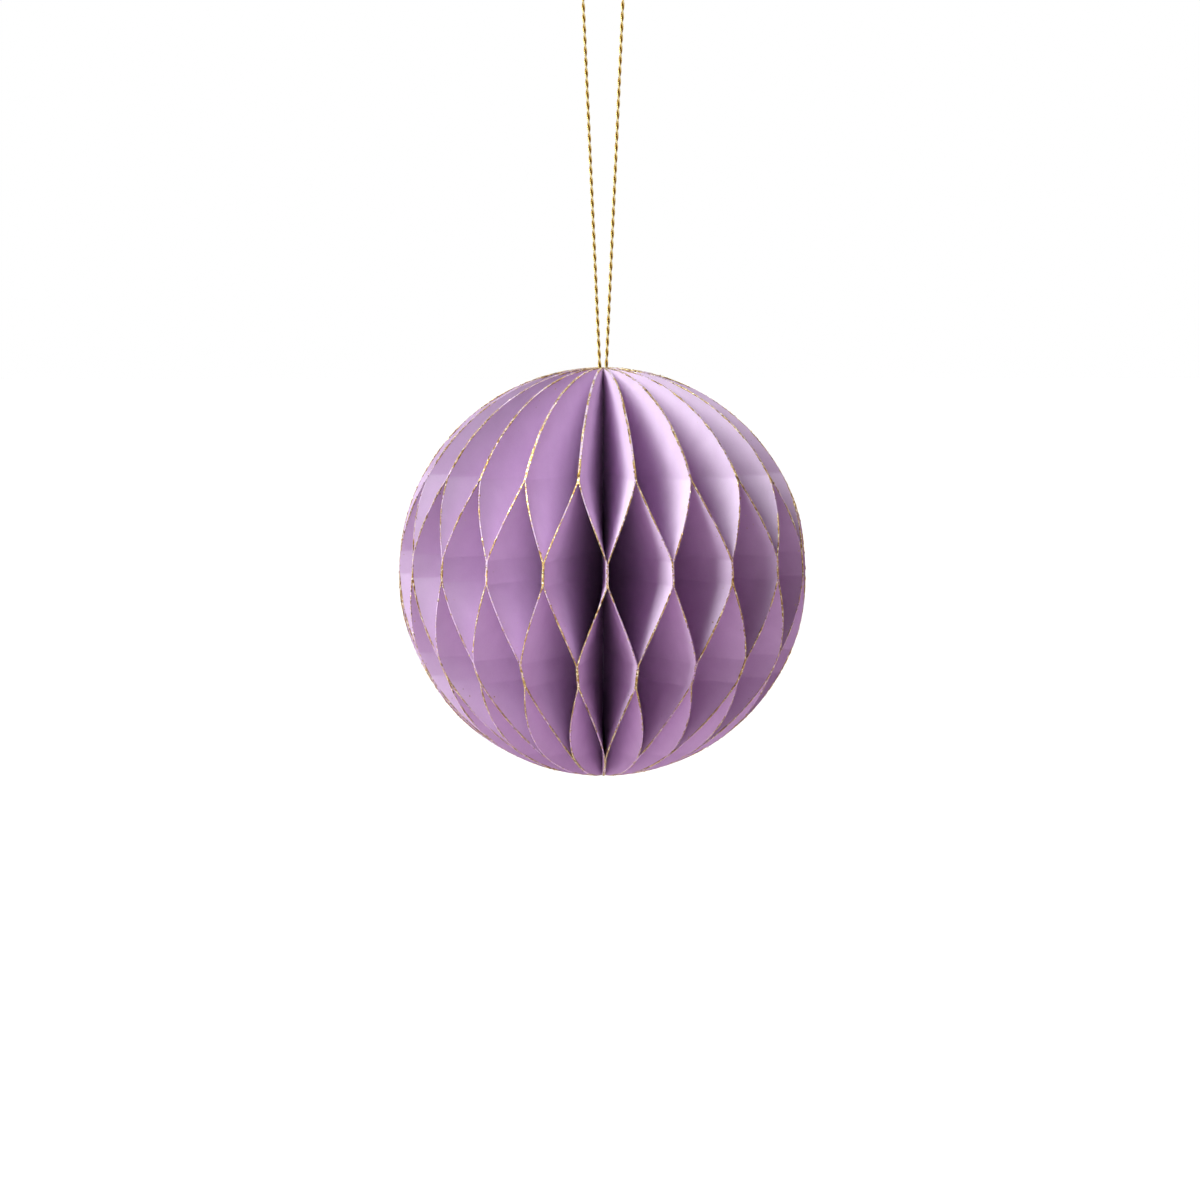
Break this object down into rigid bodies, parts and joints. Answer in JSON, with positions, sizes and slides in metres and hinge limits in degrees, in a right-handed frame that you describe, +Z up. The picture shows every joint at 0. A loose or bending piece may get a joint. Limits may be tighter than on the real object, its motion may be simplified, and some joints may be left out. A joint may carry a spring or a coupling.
{
  "type": "honeycomb paper ball ornament",
  "caption": "Round honeycomb ornament of half-disc card leaves glued at staggered bands round a spine, hung by a cord loop.",
  "frame": {"origin": "centre of the ball, on the spine", "axes": "+Z up along the spine towards the hanging loop; the loop lies in the XZ plane; a glued pair of leaves faces -Y"},
  "size_m": [0.0797, 0.0797, 0.1584],
  "materials": {
    "lilac_card": "matt uncoated lilac card, gold glitter on the cut edges",
    "gold_glitter": "fine gold glitter stuck along the cut edges",
    "clear_glue": "cloudy clear glue",
    "gold_cord": "twisted metallic gold cord"
  },
  "bodies": {
    "root": {"leaf_01": "lilac_card", "leaf_02": "lilac_card", "leaf_03": "lilac_card", "leaf_04": "lilac_card", "leaf_05": "lilac_card", "leaf_06": "lilac_card", "leaf_07": "lilac_card", "leaf_08": "lilac_card", "leaf_09": "lilac_card", "leaf_10": "lilac_card", "leaf_11": "lilac_card", "leaf_12": "lilac_card", "leaf_13": "lilac_card", "leaf_14": "lilac_card", "leaf_15": "lilac_card", "leaf_16": "lilac_card", "leaf_17": "lilac_card", "leaf_18": "lilac_card", "leaf_19": "lilac_card", "leaf_20": "lilac_card", "leaf_21": "lilac_card", "leaf_22": "lilac_card", "leaf_23": "lilac_card", "leaf_24": "lilac_card", "leaf_25": "lilac_card", "leaf_26": "lilac_card", "leaf_27": "lilac_card", "leaf_28": "lilac_card", "leaf_29": "lilac_card", "leaf_30": "lilac_card", "leaf_31": "lilac_card", "leaf_32": "lilac_card", "leaf_33": "lilac_card", "leaf_34": "lilac_card", "leaf_35": "lilac_card", "leaf_36": "lilac_card", "leaf_37": "lilac_card", "leaf_38": "lilac_card", "leaf_39": "lilac_card", "leaf_40": "lilac_card", "spine_glue": "clear_glue", "hanging_cord": "gold_cord"}
  },
  "joints": []
}
